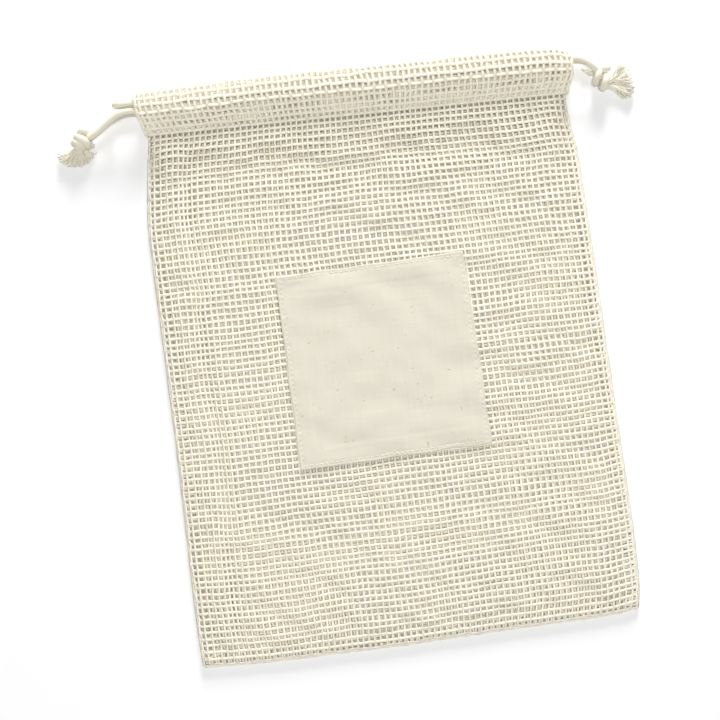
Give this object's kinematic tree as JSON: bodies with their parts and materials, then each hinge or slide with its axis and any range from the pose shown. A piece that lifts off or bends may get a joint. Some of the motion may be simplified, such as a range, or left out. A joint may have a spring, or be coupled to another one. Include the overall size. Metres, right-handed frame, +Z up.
{
  "type": "mesh laundry bag",
  "caption": "Flat square-mesh cotton drawstring bag with a stitched cotton patch and knotted, tasselled drawcords at both ends of its top casing.",
  "frame": {"origin": "centre of the empty bag's footprint, on the surface it lies on, without its cords", "axes": "+X across the bag's width, +Y from the bottom seam to the mouth, +Z up through the front net"},
  "size_m": [0.404, 0.405, 0.021],
  "materials": {
    "net_cotton": "matte",
    "patch_cotton": "matte",
    "cord_cotton": "matte",
    "thread": "matte"
  },
  "bodies": {
    "bag": {"back_mesh_panel": "net_cotton", "front_mesh_panel": "net_cotton", "back_casing": "net_cotton", "front_casing": "net_cotton", "back_casing_stitching": "thread", "front_casing_stitching": "thread", "left_side_seam": "net_cotton", "right_side_seam": "net_cotton", "bottom_seam": "net_cotton", "left_seam_stitching": "thread", "right_seam_stitching": "thread", "bottom_seam_stitching": "thread", "patch_panel": "patch_cotton", "patch_hem": "patch_cotton", "patch_stitching": "thread"},
    "left_drawcord": {"left_drawcord": "cord_cotton"},
    "left_tail": {"left_tail_upper": "cord_cotton", "left_tail_lower": "cord_cotton", "left_knot": "cord_cotton", "left_tassel": "cord_cotton"},
    "right_drawcord": {"right_drawcord": "cord_cotton"},
    "right_tail": {"right_tail_upper": "cord_cotton", "right_tail_lower": "cord_cotton", "right_knot": "cord_cotton", "right_tassel": "cord_cotton"}
  },
  "joints": [
    {"name": "left_cord_pull", "type": "slide", "parent": "bag", "child": "left_drawcord", "axis": [-0.9998, 0.0223, 0], "range_m": [-0.003, 0.006]},
    {"name": "left_tail_swing", "type": "hinge", "parent": "left_drawcord", "child": "left_tail", "pos_m": [-0.15909, 0.19156, 0.0103], "axis": [0, 0, 1], "range_deg": [0, 40]},
    {"name": "right_cord_pull", "type": "slide", "parent": "bag", "child": "right_drawcord", "axis": [0.9998, -0.0223, 0], "range_m": [-0.001, 0.012]},
    {"name": "right_tail_swing", "type": "hinge", "parent": "right_drawcord", "child": "right_tail", "pos_m": [0.15935, 0.18994, 0.0103], "axis": [0, 0, 1], "range_deg": [-15, 70]}
  ]
}
